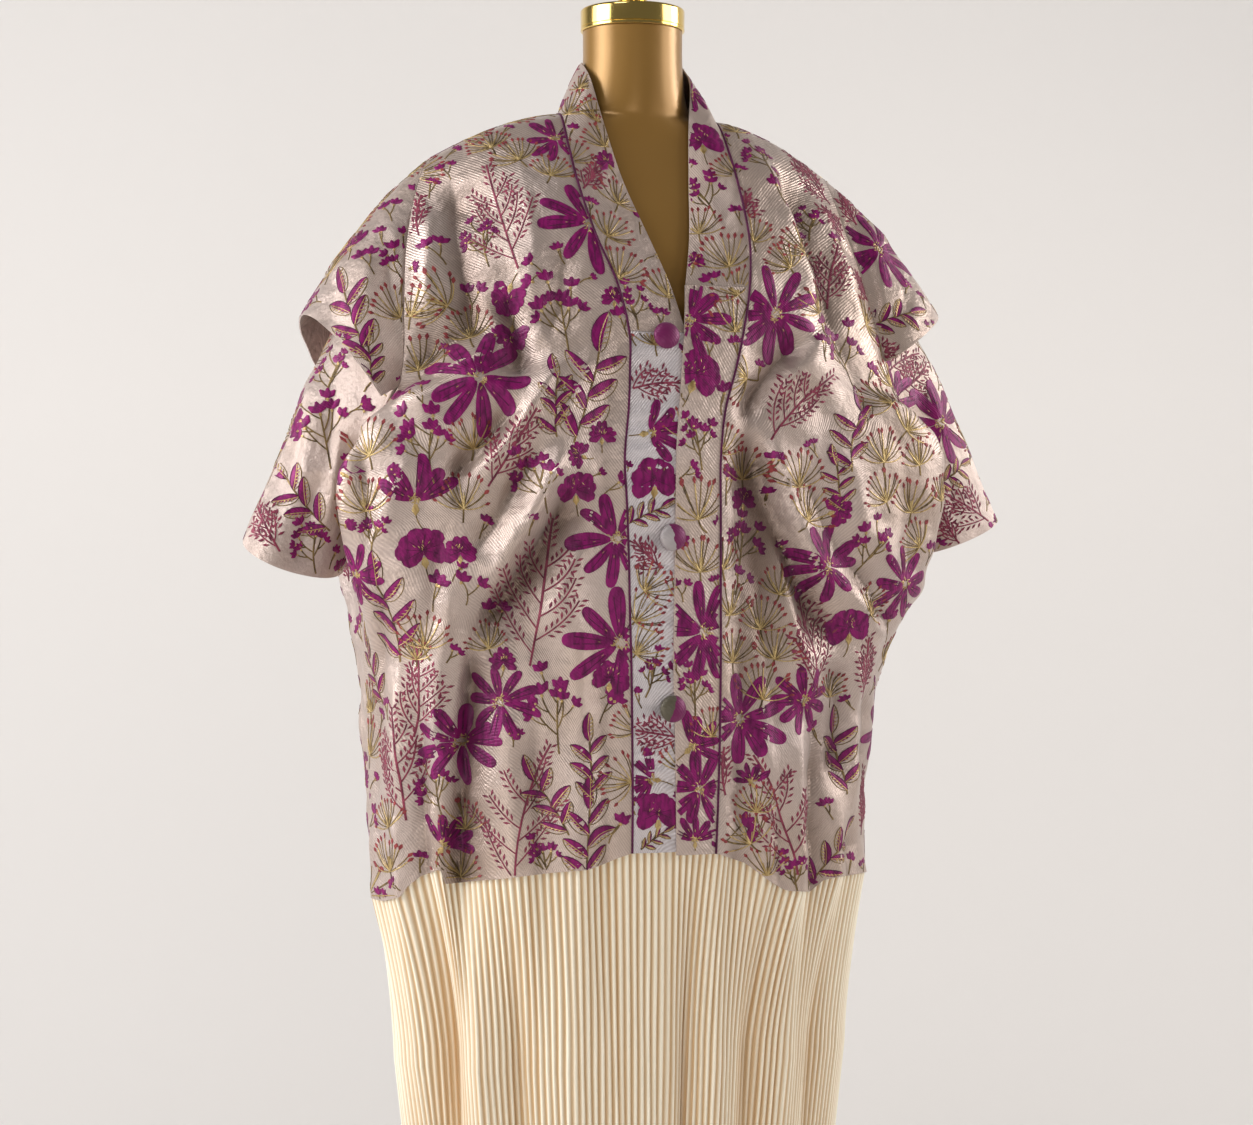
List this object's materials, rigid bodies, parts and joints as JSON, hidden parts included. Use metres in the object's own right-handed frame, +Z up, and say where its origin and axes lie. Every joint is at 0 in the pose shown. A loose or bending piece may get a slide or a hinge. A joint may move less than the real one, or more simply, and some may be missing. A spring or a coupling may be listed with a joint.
{
  "type": "brocade dress on a dress form",
  "caption": "V-neck buttoned brocade dress with wide double sleeves and a finely pleated cream skirt, on a limbless dress form with pole and round base.",
  "frame": {"origin": "middle of the round base's underside, on the floor", "axes": "+Z up, the dress's front towards -Y, the wearer's left towards +X"},
  "size_m": [0.8533, 0.36, 1.64],
  "materials": {
    "brocade": "satin",
    "plisse": "satin",
    "form_satin": "satin",
    "brass": "polished",
    "stand_metal": "satin"
  },
  "bodies": {
    "root": {"front_right": "brocade", "front_left": "brocade", "back": "brocade", "neckband": "brocade", "placket_under": "brocade", "placket_over": "brocade", "oversleeve_right": "brocade", "oversleeve_left": "brocade", "undersleeve_right": "brocade", "undersleeve_left": "brocade", "button_1": "brocade", "button_2": "brocade", "button_3": "brocade", "skirt_front": "plisse", "skirt_back": "plisse", "form_torso": "form_satin", "neck_cap": "brass", "finial": "brass", "pole": "stand_metal", "base": "stand_metal"}
  },
  "joints": []
}
